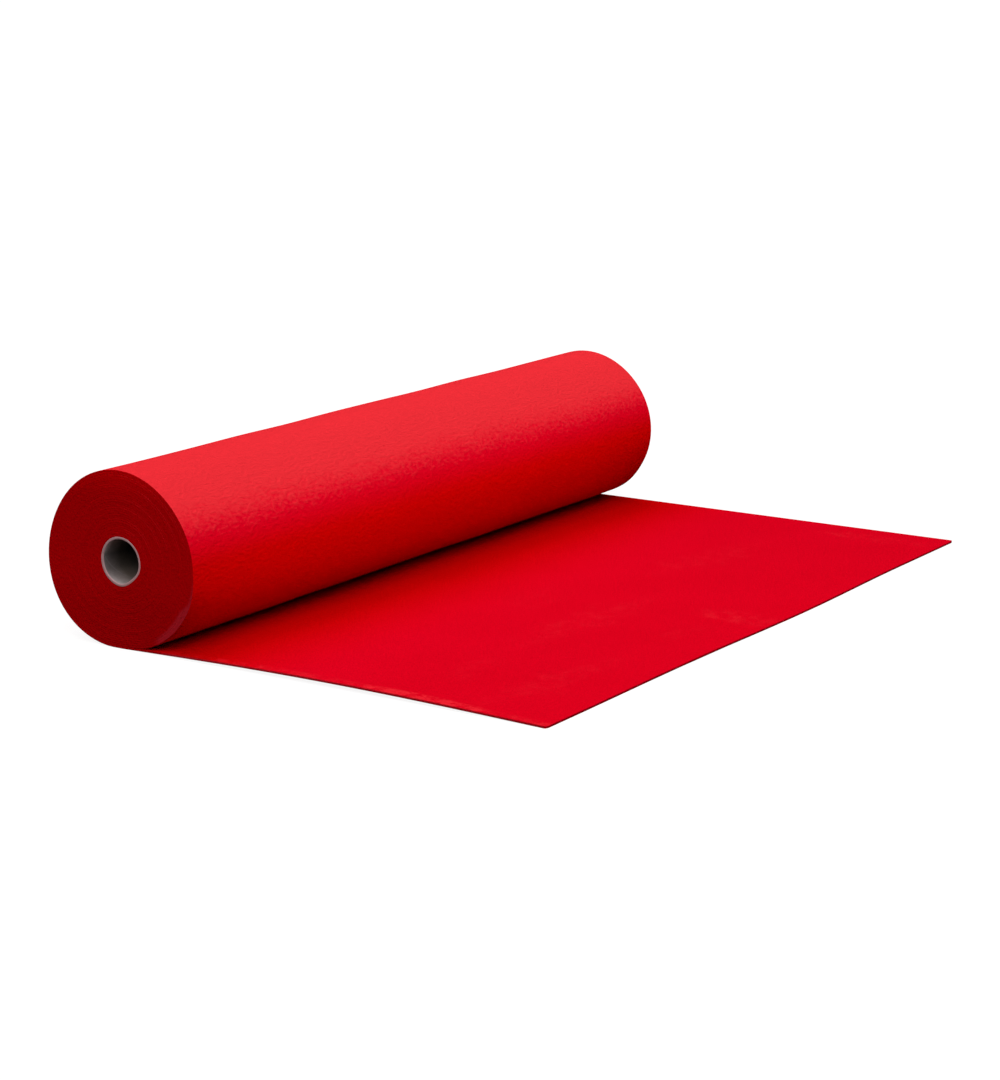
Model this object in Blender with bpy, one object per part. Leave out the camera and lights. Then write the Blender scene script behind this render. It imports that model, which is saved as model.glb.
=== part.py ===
"""A roll of felt with its loose end laid out: one length of red felt wound on a cardboard tube.

The roll lies along X on the floor, which is z = 0. The outer turn leaves the underside of the
roll and lies flat as the loose end, towards -Y. The origin is on the floor under the roll's axis,
midway along the roll. All sizes are in metres.
"""

import math

import bmesh
import bpy

# Driving dimensions
FELT_WIDTH = 1.000
FELT_THICKNESS = 0.0025
ROLL_RADIUS = 0.1039
ROLL_TAPER = 0.0089  # the far end is wound this share fatter than the near end
FLAT_SPOT_SINK = 0.0004  # how far the roll's weight flattens its underside
LOOSE_END_LENGTH = 0.557
CUT_SKEW = 0.0045  # the cut runs this much further out at the far edge
CUT_CORNER_ROUNDING = 0.003
CORE_BORE_RADIUS = 0.0254
CORE_WALL = 0.0032
CORE_RIM_ROUNDING = 0.0005
CORE_CENTRE = (-0.002, 0.0996)  # y and z of the tube's axis
TUBE_TO_FELT_GAP = 0.0003

# How far the winding is out of round: lobes around the turn, cosine share, sine share
OUT_OF_ROUND = (
    (2, -0.0175, 0.0164),
    (3, -0.0126, 0.0087),
)

# The winding swells where it hangs over the nip, which is where the loose end leaves the roll
NIP_SWELL = 0.0034
NIP_SWELL_ANGLES = (5.15, 5.82)  # the swell is full between these angles of the turn, in radians
NIP_SWELL_EASE = 0.46  # and fades out over this angle on either side
NIP_SWELL_AT_FAR_END = 0.4  # the share of it that is left at the far end
NIP_SWELL_STARTS_LATER = 0.45  # at the far end it starts this much further round

# The loose end bows up off the floor between the roll and the cut, most at its near side
BOW_HEIGHT = 0.0048
BOW_WIDTH = 0.42  # the bow fades to nothing this far in from the near side

# How far the cut edge strays from a straight line: middle x, half length along x, reach
CUT_WAVES = (
    (-0.24, 0.20, -0.0009),
    (0.07, 0.27, 0.0043),
)

# Mesh resolution
TURN_SEGMENTS = 72
NIP_SEGMENTS = 1  # the last segments of the turn, where it already touches the loose end
SHEET_SEGMENTS = 13
ROW_CROWDING = 0.35  # 0 spaces the rows of the loose end evenly, 1 crowds them to the roll

# Stations along the width, as shares of the felt's width. They are closest near the cut sides.
STATIONS = (0, 0.004, 0.03, 0.07, 0.12, 0.19, 0.27, 0.36, 0.45, 0.54, 0.63, 0.72, 0.81, 0.90, 0.97, 0.996, 1)
SIDE_ROUNDING = 0.0004  # how much the outer turn is drawn in at its two sides

# Colours and finish
FELT_COLOUR = (0.78, 0.004, 0.018, 1)
FELT_ROUGHNESS = 0.95
CARDBOARD_COLOUR = (0.46, 0.42, 0.40, 1)
CARDBOARD_ROUGHNESS = 0.85


def clear_scene():
    for obj in list(bpy.data.objects):
        bpy.data.objects.remove(obj, do_unlink=True)


def material(name, colour, roughness):
    made = bpy.data.materials.new(name)
    made.use_nodes = True
    shader = made.node_tree.nodes["Principled BSDF"]
    shader.inputs["Base Color"].default_value = colour
    shader.inputs["Roughness"].default_value = roughness
    shader.inputs["Metallic"].default_value = 0
    made.diffuse_color = colour
    return made


def hill(distance, half_length):
    """A smooth hill of height 1 that falls to 0 at half_length from its middle."""
    share = min(abs(distance) / half_length, 1)
    return 0.5 + 0.5 * math.cos(math.pi * share)


def nip_swell(angle, share):
    begins, ends = NIP_SWELL_ANGLES
    begins += NIP_SWELL_STARTS_LATER * share
    beyond = max(begins - angle, angle - ends, 0)
    along = 1 + (NIP_SWELL_AT_FAR_END - 1) * share
    return NIP_SWELL * along * hill(beyond, NIP_SWELL_EASE)


def turn_point(angle, share):
    """(y, z) of the outer turn, before it is set on the floor. The angle is 0 under the roll and
    grows towards +Y. The share goes from 0 at the near end of the roll to 1 at the far end."""
    wave = sum(
        cosine * math.cos(lobes * angle) + sine * math.sin(lobes * angle)
        for lobes, cosine, sine in OUT_OF_ROUND
    )
    drawn_in = SIDE_ROUNDING if share in (0, 1) else 0
    radius = ROLL_RADIUS * (1 + ROLL_TAPER * share + wave) - drawn_in
    radius += nip_swell(angle, share) - FELT_THICKNESS * angle / (2 * math.pi)
    return radius * math.sin(angle), -radius * math.cos(angle)


def turn(share):
    """The outer turn at one station, from the floor contact round to the nip."""
    angles = [2 * math.pi * i / TURN_SEGMENTS for i in range(TURN_SEGMENTS - NIP_SEGMENTS + 1)]
    points = [turn_point(angle, share) for angle in angles]
    lowest = min(z for _, z in points) + FLAT_SPOT_SINK
    return [(y, max(z - lowest, 0)) for y, z in points]


def floor_lift(x, y, reach):
    """How far the loose end stands off the floor, which is nothing at the roll and at the cut."""
    along = math.sin(math.pi * min(max(-y / reach, 0), 1))
    return BOW_HEIGHT * along * hill(x + FELT_WIDTH / 2, BOW_WIDTH)


def loose_end_reach(x, share):
    wave = sum(reach * hill(x - mid_x, half_x) for mid_x, half_x, reach in CUT_WAVES)
    corner = CUT_CORNER_ROUNDING if share in (0, 1) else 0
    return LOOSE_END_LENGTH + CUT_SKEW * share + wave - corner


def section(share):
    """The felt's outline at one station: the turn, then the loose end's upper side out to the
    cut, then its underside back to below the nip."""
    x = FELT_WIDTH * (share - 0.5)
    around = turn(share)
    nip_y = around[-1][0]
    reach = loose_end_reach(x, share)
    upper = []
    under = []
    for i in range(SHEET_SEGMENTS + 1):
        out = i / SHEET_SEGMENTS
        out = out * (1 - ROW_CROWDING) + out * out * ROW_CROWDING
        y = nip_y + (-reach - nip_y) * out
        lift = floor_lift(x, y, reach)
        upper.append((y, lift + FELT_THICKNESS))
        under.append((y, lift))
    outline = around + upper[1:] + under[::-1]
    return [(x, y, z) for y, z in outline]


def ring(x, radius):
    """A circle of the tube's or the bore's wall, with its points at the turn's own angles."""
    centre_y, centre_z = CORE_CENTRE
    angles = [2 * math.pi * i / TURN_SEGMENTS for i in range(TURN_SEGMENTS)]
    return [(x, centre_y + radius * math.sin(a), centre_z - radius * math.cos(a)) for a in angles]


def join_rings(bm, first, second):
    count = len(first)
    for i in range(count):
        after = (i + 1) % count
        bm.faces.new((first[i], first[after], second[after], second[i]))


def close_end(bm, outline, bore):
    """One end of the felt: quads between the turn and the bore, then the strip of the loose end,
    and the small face under the nip that joins the two."""
    nip = TURN_SEGMENTS - NIP_SEGMENTS
    for i in range(nip):
        bm.faces.new((outline[i], outline[i + 1], bore[i + 1], bore[i]))
    bm.faces.new([outline[-1], outline[0], *reversed(bore[nip:] + bore[:1]), outline[nip]][::-1])
    last = len(outline) - 1
    for i in range(SHEET_SEGMENTS):
        bm.faces.new((outline[nip + i], outline[nip + i + 1], outline[last - i - 1], outline[last - i]))


def mesh_object(name, bm, made_of):
    bmesh.ops.recalc_face_normals(bm, faces=bm.faces)
    mesh = bpy.data.meshes.new(name)
    bm.to_mesh(mesh)
    bm.free()
    mesh.materials.append(made_of)
    mesh.shade_smooth()
    mesh.set_sharp_from_angle(angle=math.radians(35))
    obj = bpy.data.objects.new(name, mesh)
    bpy.context.scene.collection.objects.link(obj)
    return obj


def make_felt():
    """The whole cloth: the wound roll and the loose end that leaves it."""
    bm = bmesh.new()
    outlines = [[bm.verts.new(point) for point in section(share)] for share in STATIONS]
    for first, second in zip(outlines, outlines[1:]):
        join_rings(bm, first, second)
    bore_radius = CORE_BORE_RADIUS + CORE_WALL + TUBE_TO_FELT_GAP
    near = [bm.verts.new(point) for point in ring(-FELT_WIDTH / 2, bore_radius)]
    far = [bm.verts.new(point) for point in ring(FELT_WIDTH / 2, bore_radius)]
    join_rings(bm, near, far)
    close_end(bm, outlines[0], near)
    close_end(bm, outlines[-1], far)
    return mesh_object("felt", bm, material("red_felt", FELT_COLOUR, FELT_ROUGHNESS))


def make_core():
    """The cardboard tube, with its rims eased inside and outside."""
    half = FELT_WIDTH / 2
    eased = half - CORE_RIM_ROUNDING
    outer = CORE_BORE_RADIUS + CORE_WALL
    profile = (
        (-eased, outer),
        (eased, outer),
        (half, outer - CORE_RIM_ROUNDING),
        (half, CORE_BORE_RADIUS + CORE_RIM_ROUNDING),
        (eased, CORE_BORE_RADIUS),
        (-eased, CORE_BORE_RADIUS),
        (-half, CORE_BORE_RADIUS + CORE_RIM_ROUNDING),
        (-half, outer - CORE_RIM_ROUNDING),
    )
    bm = bmesh.new()
    rings = [[bm.verts.new(point) for point in ring(x, radius)] for x, radius in profile]
    for first, second in zip(rings, rings[1:] + rings[:1]):
        join_rings(bm, first, second)
    return mesh_object("core", bm, material("cardboard", CARDBOARD_COLOUR, CARDBOARD_ROUGHNESS))


clear_scene()
make_felt()
make_core()
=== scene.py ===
"""The looks of the roll of felt: the cloth as one long wound sheet, the cardboard tube, their
materials, the floor, the light and the camera. Everything is in metres, in the CAD's frame.

X runs along the roll, the loose end lies towards -Y, and the floor is z = 0.
"""

import math

import bpy
import numpy as np
from mathutils import Matrix, Vector


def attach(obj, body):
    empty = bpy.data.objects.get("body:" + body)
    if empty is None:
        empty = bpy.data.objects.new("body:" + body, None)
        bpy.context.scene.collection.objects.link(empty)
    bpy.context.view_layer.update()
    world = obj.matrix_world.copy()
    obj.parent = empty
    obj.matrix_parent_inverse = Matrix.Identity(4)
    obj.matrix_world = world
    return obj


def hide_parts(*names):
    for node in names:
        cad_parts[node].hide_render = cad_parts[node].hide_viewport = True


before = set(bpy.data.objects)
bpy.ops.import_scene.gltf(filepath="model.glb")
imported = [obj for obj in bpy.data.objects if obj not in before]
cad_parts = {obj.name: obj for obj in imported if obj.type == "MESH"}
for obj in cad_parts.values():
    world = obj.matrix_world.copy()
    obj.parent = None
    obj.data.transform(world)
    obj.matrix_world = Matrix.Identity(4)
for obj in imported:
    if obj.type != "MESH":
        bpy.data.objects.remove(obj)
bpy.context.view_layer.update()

# Driving dimensions, the same as those of the solids
WIDTH = 1.000
THICKNESS = 0.0025
ROLL_RADIUS = 0.1039
ROLL_TAPER = 0.0089  # the far end is wound this share fatter than the near end
FLAT_SPOT_SINK = 0.0004  # how far the roll's weight flattens its underside
REACH = 0.557  # from under the roll's axis to the cut
CUT_SKEW = 0.0045  # the cut runs this much further out at the far side
BORE_RADIUS = 0.0254
TUBE_WALL = 0.0032
TUBE_CENTRE = np.array((-0.002, 0.0996))  # y and z of the tube's axis
TUBE_TO_FELT = 0.0003
OUT_OF_ROUND = (
    # lobes around the turn, cosine share, sine share
    (2, -0.0175, 0.0164),
    (3, -0.0126, 0.0087),
)
NIP_SWELL = 0.0034  # the winding swells where it hangs over the nip
NIP_SWELL_ANGLES = (5.15, 5.82)  # the swell is full between these angles of the turn, in radians
NIP_SWELL_EASE = 0.46  # and fades out over this angle on either side
NIP_SWELL_AT_FAR_END = 0.4  # the share of it that is left at the far end
NIP_SWELL_STARTS_LATER = 0.45  # at the far end it starts this much further round
BOW_HEIGHT = 0.0048  # the loose end bows up off the floor, most at its near side
BOW_WIDTH = 0.42  # the bow fades to nothing this far in from the near side
CUT_WAVES = (
    # middle x, half length along x, reach
    (-0.24, 0.20, -0.0009),
    (0.07, 0.27, 0.0043),
)

# Driving dimensions of the fine forms that the solids don't have
NIP_SAG = 0.0010  # right over the nip the cloth hangs this much lower than its solid
NIP_SAG_ANGLES = (5.10, 5.70, 5.92, 6.17)  # where the sag starts, is full, eases off and is gone
DENT = 0.0021  # the tube's near end is pushed in this far, below on the loose end's side
DENT_TURN = 5.62  # radians round from the tube's lowest line towards +Y
DENT_HALF_WIDTH = 0.80  # in radians too
DENT_LENGTH = 0.05
RIM_EASE = 0.0004  # rounding of the tube's rims

# The wound cloth
TURNS = 29.3
INNER_STEPS = 60  # steps in each hidden turn
OUTER_STEPS = 96  # steps in the turn that shows
FINE_FROM = 2  # this many turns in, the cloth's coarse grid changes to its fine one
COARSE_ACROSS = 6  # steps across the middle of the width
FINE_ACROSS = 48  # a multiple of the coarse number
LAYER_FILL = 0.985  # the share of the pitch between turns that the cloth fills
NIP_RECOVERY = 0.05  # the loose end is back at its full thickness this far from the roll
SIDE_EASE = 0.00014  # rounding of the cut sides
SIDE_DEPTHS = (0.2, 0.5, 0.8)  # how deep in the cloth the points of a cut side lie, as shares
SIDE_LINES = (0.0012, 0.005, 0.016)  # the grid's lines next to a cut side lie this far in from it
SIDE_MARGIN = 0.04  # past this, the grid across the width is even
LOOSE_STEPS = 72  # rows of the loose end
ROW_CROWDING = 0.4  # 0 spaces the rows of the loose end evenly, 1 crowds them to the roll
CUT_THINNING = (0.35, 0.72)  # the last two rows are this share thinner, which rounds the cut
CORNER_RADIUS = 0.004
UNDERSIDE = (-0.3, 0.5)  # the roll's lowest point lies between these angles of the turn
UNDERSIDE_STEPS = 80
STRAY_STARTS = 0.5  # the sides begin to stray along X over this many turns in from the floor contact
SIDE_STRAYS = (
    # for the near side and the far side: radians of each wave in a turn, phase, reach
    ((1.3, 0.6, 0.00008), (4.3, 2.0, 0.00004)),
    ((1.7, 3.0, 0.00014), (4.7, 0.4, 0.00007)),
)
SAME_PLACE = 1e-9  # points closer than this are taken for one

# The tube's mesh
TUBE_RINGS = (-0.49, -0.47, -0.42, -0.30, -0.10, 0.10, 0.30, 0.42, 0.47, 0.49)  # x of its rings
TUBE_STEPS = 96

SHARP_ANGLE = 50  # edges bent more than this many degrees stay sharp


def smooth(value):
    value = np.clip(value, 0, 1)
    return value * value * (3 - 2 * value)


def hill(distance, half_length):
    """A smooth hill of height 1 that falls to 0 at half_length from its middle."""
    share = np.minimum(np.abs(distance) / half_length, 1)
    return 0.5 + 0.5 * np.cos(np.pi * share)


def ripple(a, b, waves):
    """Gentle unevenness, as the sum of a few long waves: cycles along a, cycles along b, phase, height."""
    return sum(h * np.sin(2 * np.pi * (ca * a + cb * b) + phase) for ca, cb, phase, h in waves)


ROLL_RIPPLES = (
    # cycles in a metre along X, cycles in a turn, phase, height
    (2.3, 1, 0.4, 0.00022),
    (4.1, -2, 2.1, 0.00016),
    (6.7, 3, 4.0, 0.00010),
    (1.4, 5, 1.2, 0.00008),
)
FLOOR_RIPPLES = (
    # cycles in a metre along X, cycles in a metre of the way out, phase, height
    (3.1, 4.2, 0.9, 0.00030),
    (5.6, -6.4, 2.6, 0.00020),
    (8.8, 9.5, 5.1, 0.00012),
)
FLAT_SIDES = 0.15  # the ripples of the loose end fade out this far from its two sides
FLAT_START = 5  # they grow over the first fifth of the way out
FLAT_FINISH = 6  # and fade out over the last sixth


def nip_swell(angle, share):
    begins, ends = NIP_SWELL_ANGLES
    begins = begins + NIP_SWELL_STARTS_LATER * share
    beyond = np.maximum(np.maximum(begins - angle, angle - ends), 0)
    along = 1 + (NIP_SWELL_AT_FAR_END - 1) * share
    return NIP_SWELL * along * hill(beyond, NIP_SWELL_EASE)


def nip_sag(angle):
    starts, full, eases_off, gone = NIP_SAG_ANGLES
    growing = smooth((angle - starts) / (full - starts))
    return NIP_SAG * growing * smooth((gone - angle) / (gone - eases_off))


def outer_turn(angle, x):
    """(y, z) of the roll's outline before it winds inwards. Arrays of angle and x match."""
    share = x / WIDTH + 0.5
    wave = sum(c * np.cos(n * angle) + s * np.sin(n * angle) for n, c, s in OUT_OF_ROUND)
    radius = ROLL_RADIUS * (1 + ROLL_TAPER * share + wave) + nip_swell(angle, share)
    radius = radius + nip_sag(angle) + ripple(x, angle / (2 * np.pi), ROLL_RIPPLES)
    return radius * np.sin(angle), -radius * np.cos(angle)


def floor_drop(x):
    """How far the roll's outline is lowered at x, so that it stands on the floor on its flat spot."""
    angle = np.linspace(*UNDERSIDE, UNDERSIDE_STEPS + 1)
    _, z = outer_turn(angle[:, None], x[None, :])
    return z.min(0) + FLAT_SPOT_SINK


def dent(angle, x):
    """How far the tube is pushed in at an angle round it, most at the very end."""
    off = np.mod(angle - DENT_TURN + np.pi, 2 * np.pi) - np.pi
    return DENT * hill(off, DENT_HALF_WIDTH) * smooth(1 - (x + WIDTH / 2) / DENT_LENGTH)


def wound_point(turned, x, drop):
    """(y, z) on the outer side of the cloth, turned radians in from the floor contact."""
    angle = np.mod(turned, 2 * np.pi)
    outer_y, outer_z = outer_turn(angle, x)
    outer_z = np.maximum(outer_z - drop, 0)
    tube_radius = BORE_RADIUS + TUBE_WALL + TUBE_TO_FELT - dent(angle, x)
    inner_y = TUBE_CENTRE[0] + tube_radius * np.sin(angle)
    inner_z = TUBE_CENTRE[1] - tube_radius * np.cos(angle)
    inward = turned / (2 * np.pi * TURNS)
    return outer_y + (inner_y - outer_y) * inward, outer_z + (inner_z - outer_z) * inward


def reach_at(x):
    share = x / WIDTH + 0.5
    wave = sum(h * hill(x - mid, half) for mid, half, h in CUT_WAVES)
    to_side = np.maximum(WIDTH / 2 - np.abs(x), 0)
    missing = np.maximum(CORNER_RADIUS - to_side, 0)
    corner = CORNER_RADIUS - np.sqrt(CORNER_RADIUS**2 - missing**2)
    return REACH + CUT_SKEW * share + wave - corner


def lift(x, out, reach):
    """How far the loose end stands off the floor, at a share out of its way from roll to cut."""
    bow = BOW_HEIGHT * np.sin(np.pi * np.clip(out, 0, 1)) * hill(x + WIDTH / 2, BOW_WIDTH)
    uneven = ripple(x, out * reach, FLOOR_RIPPLES) + sum(h for *_, h in FLOOR_RIPPLES)
    flat_ends = smooth(out * FLAT_START) * smooth((1 - out) * FLAT_FINISH)
    flat_sides = smooth((WIDTH / 2 - np.abs(x)) / FLAT_SIDES)
    return bow + uneven * flat_ends * flat_sides


def stray(turn, waves):
    return sum(reach * np.sin(rate * turn + phase) for rate, phase, reach in waves)


def side_offset(turned):
    """How far each turn's sides stray along X as the cloth is wound: the near and the far side."""
    turn = turned / (2 * np.pi)
    grown = smooth(turn / STRAY_STARTS)
    return [stray(turn, waves) * grown for waves in SIDE_STRAYS]


def across(middle_steps):
    """The cloth's cross-section across its width, as a closed ring: x from the middle, and how deep
    in the cloth from its outer side (0) to its inner side (1)."""
    half = WIDTH / 2
    eased = (SIDE_EASE, *SIDE_LINES)
    middle = np.linspace(-half + SIDE_MARGIN, half - SIDE_MARGIN, middle_steps + 1)
    xs = [-half + i for i in eased] + list(middle) + [half - i for i in reversed(eased)]
    round_side = list(zip((half - SIDE_EASE / 4, half, half - SIDE_EASE / 4), SIDE_DEPTHS))
    ring = [(x, 0.0) for x in xs] + round_side
    ring += [(-x, 1.0) for x in xs] + [(-x, 1 - depth) for x, depth in round_side]
    return np.array(ring).T


def ring_kinds(depth):
    """The kind of face between each point of the ring and the next."""
    after = np.roll(depth, -1)
    return ["outer" if a + b == 0 else "inner" if a + b == 2 else "cut" for a, b in zip(depth, after)]


def wound_stations(turned, x, depth):
    """Rings of the wound part, one for each angle turned in from the floor contact."""
    drop = floor_drop(x)
    turned = turned[:, None]
    outer_y, outer_z = wound_point(turned, x[None, :], drop[None, :])
    inner_y, inner_z = wound_point(turned + 2 * np.pi, x[None, :], drop[None, :])
    fill = depth[None, :] * LAYER_FILL
    y = outer_y + (inner_y - outer_y) * fill
    z = outer_z + (inner_z - outer_z) * fill
    near, far = side_offset(turned)
    share = x[None, :] / WIDTH + 0.5
    return np.stack([x[None, :] + near * (1 - share) + far * share, y, z], 2)


def loose_stations(start, x, depth):
    """Rings of the loose end, from just past the floor contact to the rounded cut."""
    layer = np.abs(start[:, 2].max() - start[:, 2].min())
    start_y = start[:, 1]
    reach = reach_at(x)
    even = np.arange(1, LOOSE_STEPS + 1) / LOOSE_STEPS
    out = (1 - ROW_CROWDING) * even + ROW_CROWDING * even**2
    ease = np.array((SIDE_EASE, SIDE_EASE / 4, 0.0)) / REACH
    out = np.concatenate([out[out < 1 - 2 * ease[0]], 1 - ease])[:, None]
    thinned = np.zeros_like(out)
    thinned[-2:, 0] = CUT_THINNING
    y = start_y[None, :] + (-reach[None, :] - start_y[None, :]) * out
    up = lift(x[None, :], out, reach[None, :])
    thickness = layer + (THICKNESS - layer) * smooth(out * REACH / NIP_RECOVERY)
    level = 0.5 + (depth[None, :] - 0.5) * (1 - thinned)
    z = up + thickness * level
    return np.stack([np.broadcast_to(x[None, :], y.shape), y, z], 2)


def ring_quads(first, count, around):
    """Quads between count rings of around points each, numbered on from first."""
    index = first + np.arange(count * around).reshape(count, around)
    after = np.roll(index, -1, axis=1)
    return np.stack([index[:-1], after[:-1], after[1:], index[1:]], 2).reshape(-1, 4).tolist()


def stitch(coarse_first, coarse_x, fine_first, fine_x):
    """Faces between the last coarse ring and the first fine one: each spans one coarse step. Both
    rings start at the same place, and every coarse point has its own fine point."""
    faces = []
    place = 0
    for i in range(len(coarse_x)):
        last = i + 1 == len(coarse_x)
        goal = len(fine_x) if last else place + 1
        while not last and abs(fine_x[goal] - coarse_x[i + 1]) > SAME_PLACE:
            goal += 1
        fine = [fine_first + n % len(fine_x) for n in range(place, goal + 1)]
        faces.append([coarse_first + i, coarse_first + (i + 1) % len(coarse_x)] + fine[::-1])
        place = goal
    return faces


def volume_sign(mesh):
    """Above 0 where the faces of a closed mesh look outwards."""
    mesh.calc_loop_triangles()
    co = np.empty(len(mesh.vertices) * 3)
    mesh.vertices.foreach_get("co", co)
    tri = np.empty(len(mesh.loop_triangles) * 3, np.int32)
    mesh.loop_triangles.foreach_get("vertices", tri)
    p = co.reshape(-1, 3)[tri.reshape(-1, 3)]
    return np.einsum("ij,ij->i", p[:, 0], np.cross(p[:, 1], p[:, 2])).sum()


def mesh_object(name, points, faces):
    mesh = bpy.data.meshes.new(name)
    mesh.from_pydata(points.tolist(), [], faces)
    mesh.shade_smooth()
    if volume_sign(mesh) < 0:
        mesh.flip_normals()
    mesh.set_sharp_from_angle(angle=math.radians(SHARP_ANGLE))
    obj = bpy.data.objects.new(name, mesh)
    bpy.context.scene.collection.objects.link(obj)
    return obj


def cloth_mesh(slots):
    """The whole cloth from its inner end at the tube out to the cut. The turns that don't show have
    a coarse grid."""
    coarse_x, coarse_depth = across(COARSE_ACROSS)
    fine_x, fine_depth = across(FINE_ACROSS)
    hidden = np.arange(int(TURNS * INNER_STEPS), int(FINE_FROM * INNER_STEPS) - 1, -1)
    coarse = wound_stations(hidden * (2 * np.pi / INNER_STEPS), coarse_x, coarse_depth)
    shown = np.arange(int(FINE_FROM * OUTER_STEPS) - 1, -1, -1)
    fine = wound_stations(shown * (2 * np.pi / OUTER_STEPS), fine_x, fine_depth)
    fine = np.concatenate([fine, loose_stations(fine[-1], fine_x, fine_depth)])
    fine_first = len(coarse) * len(coarse_x)
    coarse_last = fine_first - len(coarse_x)
    last = fine_first + (len(fine) - 1) * len(fine_x)
    ends = [list(range(len(coarse_x)))[::-1], list(range(last, last + len(fine_x)))]
    coarse_kinds = ring_kinds(coarse_depth)
    faces = ring_quads(0, len(coarse), len(coarse_x))
    faces += stitch(coarse_last, coarse_x, fine_first, fine_x)
    faces += ring_quads(fine_first, len(fine), len(fine_x)) + ends
    kinds = coarse_kinds * len(coarse) + ring_kinds(fine_depth) * (len(fine) - 1) + ["cut", "cut"]
    points = np.concatenate([coarse.reshape(-1, 3), fine.reshape(-1, 3)])
    obj = mesh_object("felt_cloth", points, faces)
    obj.data.polygons.foreach_set("material_index", np.array([slots.index(k) for k in kinds], np.int32))
    return obj


# Materials

SPOT_SOFTNESS = 0.7  # a spot fades out over this share of the way to its rim


class Graph:
    """A short way to add and link a material's nodes."""

    def __init__(self, name):
        self.material = bpy.data.materials.new(name)
        self.material.use_nodes = True
        self.tree = self.material.node_tree
        self.shader = self.tree.nodes["Principled BSDF"]

    def add(self, kind, inputs=(), **settings):
        node = self.tree.nodes.new("ShaderNode" + kind)
        for key, value in settings.items():
            setattr(node, key, value)
        for key, value in dict(inputs).items():
            self.put(node.inputs[key], value)
        return node

    def put(self, socket, value):
        if isinstance(value, bpy.types.NodeSocket):
            self.tree.links.new(value, socket)
        else:
            socket.default_value = value

    def math(self, operation, a, b=0.0, c=0.0, clamp=False):
        node = self.add("Math", {0: a, 1: b, 2: c}, operation=operation, use_clamp=clamp)
        return node.outputs[0]

    def noise(self, place, scale, detail=2.0, roughness=0.5):
        inputs = {"Vector": place, "Scale": scale, "Detail": detail, "Roughness": roughness}
        return self.add("TexNoise", inputs).outputs["Fac"]

    def remap(self, value, low, high, to_low=0.0, to_high=1.0):
        inputs = {"Value": value, "From Min": low, "From Max": high, "To Min": to_low, "To Max": to_high}
        return self.add("MapRange", inputs).outputs["Result"]

    def fade(self, value, low, high):
        """0 below low, 1 above high, and a soft change between them."""
        inputs = {"Value": value, "From Min": low, "From Max": high}
        return self.add("MapRange", inputs, interpolation_type="SMOOTHSTEP").outputs["Result"]

    def split(self, vector):
        return self.add("SeparateXYZ", {"Vector": vector}).outputs

    def spot(self, place, middle, half_sizes, degrees=0):
        """1 in the middle of a soft oval, falling to 0 at its rim."""
        turn = (0, 0, math.radians(degrees))
        inputs = {"Vector": place, "Location": middle, "Rotation": turn, "Scale": half_sizes}
        inside = self.add("Mapping", inputs, vector_type="TEXTURE").outputs["Vector"]
        away = self.add("VectorMath", {0: inside}, operation="LENGTH").outputs["Value"]
        return self.fade(self.math("SUBTRACT", 1.0, away), 0.0, SPOT_SOFTNESS)

    def strayed(self, place, scale, reach):
        """The place, pushed about by a soft noise of a given scale, up to half the reach each way."""
        pushed = self.add("TexNoise", {"Vector": place, "Scale": scale, "Detail": 4.0, "Roughness": 0.6})
        inputs = {0: pushed.outputs["Color"], 1: (0.5, 0.5, 0.5)}
        centred = self.add("VectorMath", inputs, operation="SUBTRACT")
        inputs = {0: centred.outputs["Vector"], 1: (reach, reach, 0), 2: place}
        return self.add("VectorMath", inputs, operation="MULTIPLY_ADD").outputs["Vector"]

    def tinted(self, dye, share, tint):
        """The dye times a tint, by a share that goes from 0 for none of it to 1 for all of it."""
        return self.mix(1.0, dye, self.mix(share, colour(1, 1, 1), colour(*tint)), "MULTIPLY")

    def mix(self, share, a, b, blend="MIX"):
        node = self.add("Mix", data_type="RGBA", blend_type=blend)
        self.put(node.inputs["Factor"], share)
        self.put(node.inputs["A"], a)
        self.put(node.inputs["B"], b)
        return node.outputs["Result"]

    def stretched(self, place, scale, turn=(0, 0, 0)):
        """The place, turned and then scaled by its own amount along each axis."""
        inputs = {"Vector": place, "Rotation": turn, "Scale": scale}
        return self.add("Mapping", inputs).outputs["Vector"]


def colour(red, green, blue):
    return (red, green, blue, 1.0)


FELT_ROUGHNESS = 0.8

# How the dye changes with the fibres, the tufts and the clouds
FIBRE_LAYERS = (
    # how each layer of fibres is turned, and how often it changes in a metre along each axis
    ((0.3, 0.2, 0.1), (1500, 240, 1500)),
    ((0.9, 0.4, 1.3), (1400, 260, 1400)),
    ((0.1, 1.2, 2.2), (1600, 230, 1600)),
)
CLOUDS = 9  # in a metre
TUFT_SHARE = 0.55
FIBRE_SHARE = 0.35
CLOUD_SHARE = 0.30
PALE_FADES = (0.36, 0.88)  # the sum of these shares at which the dye is deep, and at which it is pale
GRAIN_FIBRES = 0.35  # how high the fibres stand, against the tufts

# How the felt's colour changes with the upward share of its facing: painted sheen and painted shade
SHEEN_FADES = (0.30, 0.70)  # a painted sheen lies on what faces up more than this
SHEEN_RAGGED = 0.55  # how much the tufts fray its edge
SHEEN_CLOUDS = 30  # in a metre
SHEEN_CLOUDED = 0.10  # and how much these clouds shift it
# the painted sheen's colour, as if lit from above
PAINTED_SHEEN_ON_ROLL = (0.80, 0.0262, 0.0364)
FLANK_SHADE_FADES = (-0.05, 0.50)  # painted shade: the dye on the flanks is warmer than on what faces up more than this
FLANK_SHADE_TINT = (1, 1, 0.04)
TOP_SHADE_FADES = (0.45, 0.95)  # painted shade makes the top of the roll duller
TOP_SHADE = 0.81
UNDER_SHADE_FADES = (-0.40, -0.80)  # and its underside, over the nip
UNDER_SHADE = 0.83

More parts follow.
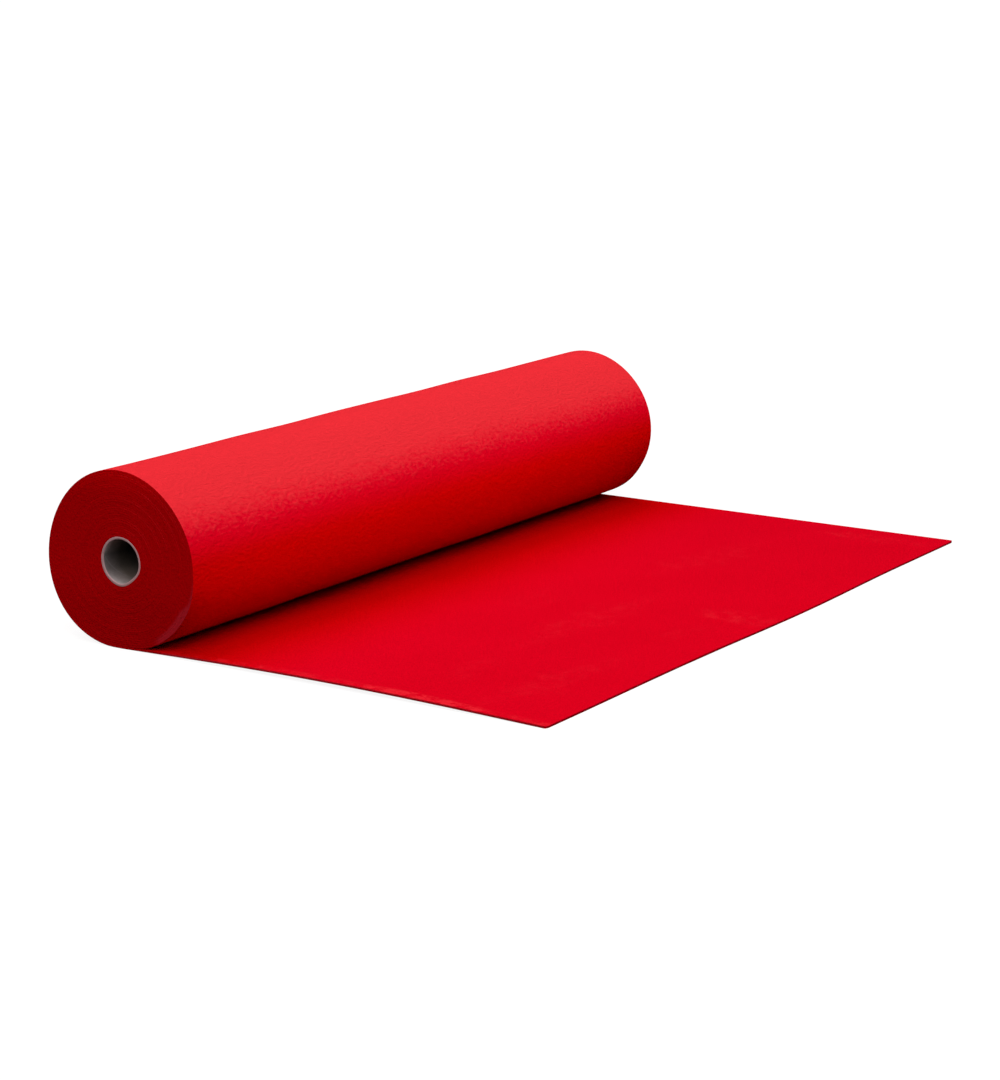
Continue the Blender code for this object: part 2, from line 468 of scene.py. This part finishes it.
# Places on the felt, in metres, and their tints
NEAR_ROLL_SHADE = (-0.27, -0.09)  # y between which painted shade turns the loose end warmer towards the roll
NEAR_ROLL_SHADE_TINT = (0.92, 0.7, 0.06)
NIP_SHADOW = (-0.15, -0.075)  # y between which a painted shadow turns it deeper, where it has just left the roll
NIP_SHADOW_TINT = (0.78, 1, 1)
NIP_LIGHT = (-0.088, -0.045)  # y between which painted light turns it brighter again, under the roll's side
NIP_LIGHT_TINT = (1.45, 1, 1)
PAINTED_FAR_SHADE = (0.0, 0.5)  # x between which painted shade turns the loose end a little deeper
FAR_SHADE_TINT = (0.95, 1, 1)
PAINTED_RIM_LIGHT = (0.165, 0.205)  # height between which painted light turns the cut side of the roll a little paler
RIM_LIGHT_TINT = (1.30, 1, 1)
PAINTED_LOW_SHADE = (0.085, 0.035)  # and painted shade a little deeper
LOW_SHADE_TINT = (0.88, 1, 1)
NEAR_END = (-0.48, -0.49)  # x between which the painted sheen crescent on the near end fades in
CRESCENT_TURNS = (-1.65, -1.15, -0.64, -0.44)  # radians from the tube's lowest line: in, full, full, out
CRESCENT_REACH = (0.0920, 0.0965)  # distance from the tube's axis, at the lower end of the crescent
CRESCENT_CLIMB = (-1.05, -1.25)  # between these turns it draws out to the rim
CRESCENT_DRIFT = 0.0070  # by this much
CRESCENT_RAGGED = 0.006  # how far the tufts fray it
# the colour of the painted sheen, where the fuzz on the rim's edge catches the light
CRESCENT_SHEEN_COLOUR = (0.41, 0.0095, 0.0165)
FLECK_MIDDLE = (-0.5, -0.0862, 0.0478)
FLECK_HALF_SIZES = (0.01, 0.0013, 0.0013)
FLECK_COLOUR = (0.08, 0.001, 0.003)
# the colour of the pale marks, and of the painted highlight along the near side's edge
PALE_MARK_AND_HIGHLIGHT = (0.62, 0.012, 0.022)
PALE_MARKS = (
    # middle x and y, half length, half width, degrees from +X, strength
    (-0.124, -0.376, 0.190, 0.040, -2, 0.30),
    (-0.354, -0.479, 0.150, 0.036, -5, 0.28),
    (0.237, -0.343, 0.160, 0.038, -9, 0.24),
    (-0.010, -0.520, 0.075, 0.032, -98, 0.48),
    (0.451, -0.412, 0.040, 0.014, -92, 0.60),
    (0.452, -0.470, 0.100, 0.018, -91, 0.25),
    (-0.370, -0.384, 0.080, 0.030, 4, 0.16),
    (-0.108, -0.494, 0.055, 0.022, -4, 0.20),
    (-0.060, -0.270, 0.090, 0.040, -4, 0.10),
)
MARKS_STRAY = (22, 0.085)  # how often along a metre and how far the marks stray from plain ovals
MARKS_BREAK = 55  # how often along a metre they are broken up
BREAK_SHARES = (1.6, 0.6)  # of that noise and of the tufts
BREAK_FADES = (0.90, 1.50)  # the sum of these shares at which a mark is gone, and at which it is full
PAINTED_EDGE_HIGHLIGHT = (
    # the same for the painted highlight along the near side's edge, where it catches the light, which
    # doesn't stray
    (-0.494, -0.405, 0.115, 0.014, -90, 2.6),
    (-0.494, -0.360, 0.400, 0.012, -90, 0.6),
    (-0.496, -0.547, 0.016, 0.008, -41, 0.9),
)


def felt_fibres(g, place):
    """0 to 1: short fibres that lie in all directions, pressed together."""
    highest = 0.0
    for turn, scale in FIBRE_LAYERS:
        layer = g.noise(g.stretched(place, scale, turn), 1.0, detail=1.0, roughness=0.4)
        highest = g.math("MAXIMUM", highest, layer)
    return highest


def felt_colour(g, place, tufts, fibres, deep, pale):
    """The dye, a little uneven from cloud to cloud and paler on the tips of the tufts."""
    clouds = g.noise(place, CLOUDS, detail=3.0, roughness=0.55)
    share = g.math("MULTIPLY_ADD", tufts, TUFT_SHARE, g.math("MULTIPLY", fibres, FIBRE_SHARE))
    share = g.math("MULTIPLY_ADD", clouds, CLOUD_SHARE, share)
    return g.mix(g.remap(share, *PALE_FADES), colour(*deep), colour(*pale))


def roll_marks(g, place, tufts, dye):
    """The outer side of the roll: a painted sheen pales its upper side and thins out down its
    flanks, where only the higher tufts still catch some. Painted shade makes its flanks warmer, and
    its top and its underside duller."""
    facing = g.split(g.add("NewGeometry").outputs["Normal"])["Z"]
    # painted shade: the flanks lose their blue
    low, high = FLANK_SHADE_FADES
    dye = g.tinted(dye, g.fade(facing, high, low), FLANK_SHADE_TINT)
    # painted sheen: light from above pales what faces up, its edge frayed by the tufts
    clouds = g.math("MULTIPLY", g.noise(place, SHEEN_CLOUDS), SHEEN_CLOUDED)
    ragged = g.math("MULTIPLY_ADD", tufts, SHEEN_RAGGED, clouds)
    upward = g.math("ADD", facing, g.math("SUBTRACT", ragged, (SHEEN_RAGGED + SHEEN_CLOUDED) / 2))
    dye = g.mix(g.fade(upward, *SHEEN_FADES), dye, colour(*PAINTED_SHEEN_ON_ROLL))
    # painted shade on the top of the roll
    dye = g.tinted(dye, g.fade(facing, *TOP_SHADE_FADES), [TOP_SHADE] * 3)
    # painted shade on its underside, over the nip
    return g.tinted(dye, g.fade(facing, *UNDER_SHADE_FADES), [UNDER_SHADE] * 3)


def loose_end_marks(g, place, tufts, dye):
    """The upper side of the loose end: painted shade makes it warmer and deeper where it has just
    left the roll, painted light brightens it right under the roll's side, and painted shade makes it a
    little deeper towards the far side. It has faint pale marks, and a painted highlight along the
    near side's edge."""
    at = g.split(place)
    # painted shade: warmer towards the roll
    dye = g.tinted(dye, g.fade(at["Y"], *NEAR_ROLL_SHADE), NEAR_ROLL_SHADE_TINT)
    # painted shadow of the roll, where the loose end has just left it
    dye = g.tinted(dye, g.fade(at["Y"], *NIP_SHADOW), NIP_SHADOW_TINT)
    # painted light, right under the roll's side
    dye = g.tinted(dye, g.fade(at["Y"], *NIP_LIGHT), NIP_LIGHT_TINT)
    # painted shade, a little deeper towards the far side
    dye = g.tinted(dye, g.fade(at["X"], *PAINTED_FAR_SHADE), FAR_SHADE_TINT)
    spread = g.strayed(place, *MARKS_STRAY)
    # the pale marks, and the painted highlight along the near side's edge
    marks = [(spread, mark) for mark in PALE_MARKS] + [(place, mark) for mark in PAINTED_EDGE_HIGHLIGHT]
    total = 0.0
    for over, (x, y, length, width, degrees, strength) in marks:
        spot = g.spot(over, (x, y, 0), (length, width, 1), degrees)
        total = g.math("MAXIMUM", total, g.math("MULTIPLY", spot, strength))
    breaks = g.noise(place, MARKS_BREAK, detail=5.0, roughness=0.75)
    of_breaks, of_tufts = BREAK_SHARES
    broken = g.math("MULTIPLY_ADD", breaks, of_breaks, g.math("MULTIPLY", tufts, of_tufts))
    share = g.math("MULTIPLY", total, g.fade(broken, *BREAK_FADES), clamp=True)
    return g.mix(share, dye, colour(*PALE_MARK_AND_HIGHLIGHT))


def cut_marks(g, place, tufts, dye):
    """The cut side: painted light makes it paler at the top of the roll and painted shade deeper low
    down, with a painted sheen crescent low on the near end's rim and a dark fleck in it."""
    at = g.split(place)
    # painted light at the top of the cut side, painted shade low on it
    dye = g.tinted(dye, g.fade(at["Z"], *PAINTED_RIM_LIGHT), RIM_LIGHT_TINT)
    dye = g.tinted(dye, g.fade(at["Z"], *PAINTED_LOW_SHADE), LOW_SHADE_TINT)
    # a painted sheen crescent low on the near end's rim, where the fuzz catches the light
    side = g.math("SUBTRACT", at["Y"], TUBE_CENTRE[0])
    below = g.math("SUBTRACT", TUBE_CENTRE[1], at["Z"])
    reach = g.math("SQRT", g.math("MULTIPLY_ADD", side, side, g.math("MULTIPLY", below, below)))
    turn = g.math("ARCTAN2", side, below)
    outer = g.math("MULTIPLY_ADD", g.fade(turn, *CRESCENT_CLIMB), -CRESCENT_DRIFT, reach)
    ragged = g.math("MULTIPLY_ADD", tufts, CRESCENT_RAGGED, g.math("SUBTRACT", outer, CRESCENT_RAGGED / 2))
    sheen_crescent = g.math("MULTIPLY", g.fade(turn, *CRESCENT_TURNS[:2]), g.fade(turn, *CRESCENT_TURNS[:1:-1]))
    sheen_crescent = g.math("MULTIPLY", sheen_crescent, g.fade(ragged, *CRESCENT_REACH))
    sheen_crescent = g.math("MULTIPLY", sheen_crescent, g.fade(at["X"], *NEAR_END))
    dye = g.mix(sheen_crescent, dye, colour(*CRESCENT_SHEEN_COLOUR))
    return g.mix(g.spot(place, FLECK_MIDDLE, FLECK_HALF_SIZES), dye, colour(*FLECK_COLOUR))


def felt_material(name, deep, pale, tufts_a_metre, grain_height, marks):
    g = Graph(name)
    place = g.add("TexCoord").outputs["Object"]
    fibres = felt_fibres(g, place)
    tufts = g.noise(g.stretched(place, tufts_a_metre), 1.0, detail=2.0, roughness=0.55)
    dye = felt_colour(g, place, tufts, fibres, deep, pale)
    g.put(g.shader.inputs["Base Color"], marks(g, place, tufts, dye))
    g.shader.inputs["Roughness"].default_value = FELT_ROUGHNESS
    g.shader.inputs["Specular IOR Level"].default_value = 0.0
    height = g.math("ADD", tufts, g.math("MULTIPLY", fibres, GRAIN_FIBRES))
    bump = g.add("Bump", {"Height": height, "Strength": 1.0, "Distance": grain_height})
    g.put(g.shader.inputs["Normal"], bump.outputs["Normal"])
    return g.material


# Tufts in a metre along each axis. Those of the outer side are drawn out along the roll.
LONG_TUFTS = (160, 280, 280)
ROUND_TUFTS = (300, 300, 300)
FELT_MATERIALS = (
    # name, deep dye, pale dye, tufts, height of the grain, marks
    ("felt_outer_side", (0.70, 0.0002, 0.0155), (0.80, 0.0006, 0.0205), LONG_TUFTS, 0.0014, roll_marks),
    ("felt_inner_side", (0.49, 0.0003, 0.007), (0.56, 0.0007, 0.011), ROUND_TUFTS, 0.0006, loose_end_marks),
    # the cut edge's dyes are darker than the sides': partly the felt's own end grain, partly painted shade
    # between the layers and fibres
    ("felt_cut_edge", (0.38, 0.0003, 0.001), (0.44, 0.0005, 0.002), ROUND_TUFTS, 0.0008, cut_marks),
)

# The cardboard. Its deep and pale greys mix with its flecks and clouds, which are counted in a metre.
PAPER_FLECKS = 900
PAPER_CLOUDS = 30
PAPER_FLECK_SHARE = 0.6
PAPER_FADES = (0.35, 0.65)
PAPER_GREYS = ((0.25, 0.205, 0.20), (0.33, 0.28, 0.28))
# the painted shade deeper in the bore
BORE_SHADE_GREYS = ((0.10, 0.075, 0.062), (0.14, 0.107, 0.090))
BORE_SHADE_FADES = (0.001, 0.028)  # how far in from the nearer rim the grey is its own, and in full painted shade
RIM_FADES = (0.0016, 0.0004)  # how far in the paler rim starts, and is full
RIM_GREY = (0.42, 0.235, 0.24)
INSIDE_FADES = (0.0003, 0.0020)  # how far in the two tints of the bore start, and are full
WALL_SHADE_FADES = (-1.10, -0.40)  # bore radii above the tube's axis between which painted shade makes its walls duller
WALL_SHADE_TINT = (0.37, 0.37, 0.37)
ROOF_LIGHT_FADES = (0.10, 0.95)  # and between which painted light makes its top paler
ROOF_LIGHT_TINT = (8.0, 7.4, 7.2)
SEAM_PITCH = 0.11  # how far along X one turn of the spirally wound paper reaches
SEAM_HALF_WIDTH = 0.008  # as a share of the pitch
SEAM_FLOOR = 0.55  # the share of the paper's height and colour that is left in the middle of the seam
SEAM_GREY = (0.18, 0.165, 0.16)
CARDBOARD_ROUGHNESS = 0.8
CARDBOARD_SHINE = 0.25
PAPER_GRAIN = 0.0002
PAPER_GRAIN_STRENGTH = 0.6
GRAIN_FLECKS = 0.5  # how high the flecks stand, against the paper beside the seam


def cardboard_material(name):
    g = Graph(name)
    place = g.add("TexCoord").outputs["Object"]
    flecks = g.noise(place, PAPER_FLECKS, detail=3.0, roughness=0.6)
    clouds = g.noise(place, PAPER_CLOUDS, detail=3.0)
    clouded = g.math("MULTIPLY", clouds, 1 - PAPER_FLECK_SHARE)
    share = g.math("MULTIPLY_ADD", flecks, PAPER_FLECK_SHARE, clouded)
    share = g.remap(share, *PAPER_FADES)
    own_grey, shaded_grey = [g.mix(share, colour(*deep), colour(*pale)) for deep, pale in (PAPER_GREYS, BORE_SHADE_GREYS)]
    at = g.split(place)
    depth = g.math("SUBTRACT", WIDTH / 2, g.math("ABSOLUTE", at["X"]))
    # painted shade, darker deeper in the bore
    grey = g.mix(g.remap(depth, *BORE_SHADE_FADES), own_grey, shaded_grey)
    # In the bore, painted shade makes the walls duller than the bottom, and painted light pales the top
    # again
    up = g.math("SUBTRACT", at["Z"], TUBE_CENTRE[1])
    level = g.math("DIVIDE", up, BORE_RADIUS)
    inside = g.fade(depth, *INSIDE_FADES)
    grey = g.tinted(grey, g.math("MULTIPLY", inside, g.fade(level, *WALL_SHADE_FADES)), WALL_SHADE_TINT)
    grey = g.tinted(grey, g.math("MULTIPLY", inside, g.fade(level, *ROOF_LIGHT_FADES)), ROOF_LIGHT_TINT)
    grey = g.mix(g.fade(depth, *RIM_FADES), grey, colour(*RIM_GREY))
    # The seam of the spirally wound paper: one line for each turn of the strip along X
    side = g.math("SUBTRACT", at["Y"], TUBE_CENTRE[0])
    angle = g.math("DIVIDE", g.math("ARCTAN2", up, side), 2 * math.pi)
    along = g.math("MULTIPLY_ADD", at["X"], 1 / SEAM_PITCH, angle)
    seam = g.math("ABSOLUTE", g.math("SUBTRACT", g.math("FRACT", along), 0.5))
    seam = g.remap(seam, 0.0, SEAM_HALF_WIDTH, SEAM_FLOOR, 1.0)
    g.put(g.shader.inputs["Base Color"], g.mix(seam, colour(*SEAM_GREY), grey))
    g.shader.inputs["Roughness"].default_value = CARDBOARD_ROUGHNESS
    g.shader.inputs["Specular IOR Level"].default_value = CARDBOARD_SHINE
    height = g.math("ADD", seam, g.math("MULTIPLY", flecks, GRAIN_FLECKS))
    bump = g.add("Bump", {"Height": height, "Strength": PAPER_GRAIN_STRENGTH, "Distance": PAPER_GRAIN})
    g.put(g.shader.inputs["Normal"], bump.outputs["Normal"])
    return g.material


def make_felt():
    """The cloth, with one material for its outer side, one for its inner side and one for its cuts."""
    obj = cloth_mesh(["outer", "inner", "cut"])
    for row in FELT_MATERIALS:
        obj.data.materials.append(felt_material(*row))
    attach(obj, "root")
    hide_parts("felt")
    return obj


def make_tube():
    """The cardboard tube, its rims eased and its near rim dented a little."""
    half = WIDTH / 2
    outer = BORE_RADIUS + TUBE_WALL
    inside = (-half + RIM_EASE, *TUBE_RINGS, half - RIM_EASE)
    rim = (BORE_RADIUS + RIM_EASE, (BORE_RADIUS + outer) / 2, outer - RIM_EASE)
    profile = [(x, BORE_RADIUS) for x in inside] + [(half, radius) for radius in rim]
    profile += [(x, outer) for x in reversed(inside)] + [(-half, radius) for radius in reversed(rim)]
    x, radius = np.array(profile).T[:, None, :]
    angle = (np.arange(TUBE_STEPS) * (2 * np.pi / TUBE_STEPS))[:, None]
    radius = radius - dent(angle, x)
    y = TUBE_CENTRE[0] + radius * np.sin(angle)
    z = TUBE_CENTRE[1] - radius * np.cos(angle)
    points = np.stack([np.broadcast_to(x, y.shape), y, z], 2)
    index = np.arange(y.size).reshape(y.shape)
    after = np.roll(index, -1, axis=0)
    quads = np.stack([index, np.roll(index, -1, 1), np.roll(after, -1, 1), after], 2).reshape(-1, 4)
    obj = mesh_object("core_tube", points.reshape(-1, 3), quads.tolist())
    obj.data.materials.append(cardboard_material("wound_cardboard"))
    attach(obj, "root")
    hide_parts("core")
    return obj


# Stage, light and camera

CAMERA_PLACE = Vector((-2.6855, -1.9123, 0.7869))
CAMERA_YAW = 0.99743  # from +Y towards +X
CAMERA_PITCH = 0.22635  # downwards
CAMERA_ROLL = 0.00208
CAMERA_LENS = 89.05  # millimetres, like the frame
CAMERA_FRAME = 36  # its height
CAMERA_SEES_TO = 200


def make_camera():
    yaw, pitch, roll = CAMERA_YAW, CAMERA_PITCH, CAMERA_ROLL
    forward = Vector((math.sin(yaw) * math.cos(pitch), math.cos(yaw) * math.cos(pitch), -math.sin(pitch)))
    level = Vector((math.cos(yaw), -math.sin(yaw), 0))
    above = level.cross(forward)
    right = level * math.cos(roll) + above * math.sin(roll)
    up = above * math.cos(roll) - level * math.sin(roll)
    data = bpy.data.cameras.new("camera")
    data.sensor_width = CAMERA_FRAME
    data.lens = CAMERA_LENS
    data.clip_end = CAMERA_SEES_TO
    camera = bpy.data.objects.new("camera", data)
    axes = Matrix((right, up, -forward)).transposed().to_4x4()
    camera.matrix_world = Matrix.Translation(CAMERA_PLACE) @ axes
    bpy.context.scene.collection.objects.link(camera)
    bpy.context.scene.camera = camera


# The floor glows, so that shadows on it stay faint. It throws no light on the roll and blocks none,
# and the low lights stand in for what a bright floor throws back.
FLOOR_RADIUS = 60.0
FLOOR_SIDES = 96
FLOOR_PAINT = 0.12
FLOOR_GLOW = 0.90


def make_floor():
    angles = [2 * math.pi * i / FLOOR_SIDES for i in range(FLOOR_SIDES)]
    ring = [(FLOOR_RADIUS * math.cos(a), FLOOR_RADIUS * math.sin(a), 0) for a in angles]
    mesh = bpy.data.meshes.new("floor")
    mesh.from_pydata(ring, [], [list(range(FLOOR_SIDES))])
    floor = bpy.data.objects.new("floor", mesh)
    bpy.context.scene.collection.objects.link(floor)
    g = Graph("floor_paint")
    g.shader.inputs["Base Color"].default_value = colour(*[FLOOR_PAINT] * 3)
    g.shader.inputs["Roughness"].default_value = 1.0
    g.shader.inputs["Specular IOR Level"].default_value = 0.0
    g.shader.inputs["Emission Color"].default_value = colour(1, 1, 1)
    g.shader.inputs["Emission Strength"].default_value = FLOOR_GLOW
    mesh.materials.append(g.material)
    floor.visible_diffuse = False
    floor.visible_glossy = False
    floor.visible_shadow = False


# The studio's soft lights, far away
LIGHTS = (
    # direction from +X towards +Y and height, in degrees, then strength
    (210, 40, 1.95),
    (240, 65, 1.15),
    (60, 65, 1.11),
    (300, 65, 0.47),
    (120, 65, 0.44),
    (330, 40, 0.22),
    # what bright walls and a bright floor throw back, mostly on sides that the camera doesn't see
    (70, 0, 0.45),
    (10, 0, 0.40),
    (85, -30, 0.55),
)
LIGHT_SPREAD = 40  # how wide each light looks from the object, in degrees


def make_light():
    for number, (direction, height, strength) in enumerate(LIGHTS):
        data = bpy.data.lights.new("soft_light_%d" % number, "SUN")
        data.energy = strength
        data.angle = math.radians(LIGHT_SPREAD)
        light = bpy.data.objects.new(data.name, data)
        a, h = math.radians(direction), math.radians(height)
        towards = Vector((math.cos(h) * math.cos(a), math.cos(h) * math.sin(a), math.sin(h)))
        light.rotation_euler = towards.to_track_quat("Z", "Y").to_euler()
        bpy.context.scene.collection.objects.link(light)
    world = bpy.data.worlds.new("studio")
    world.use_nodes = True
    background = world.node_tree.nodes["Background"]
    background.inputs["Color"].default_value = (1, 1, 1, 1)
    background.inputs["Strength"].default_value = 0.0
    bpy.context.scene.world = world
    bpy.context.scene.view_settings.view_transform = "Standard"


make_camera()
make_floor()
make_light()
tube = make_tube()
cloth = make_felt()
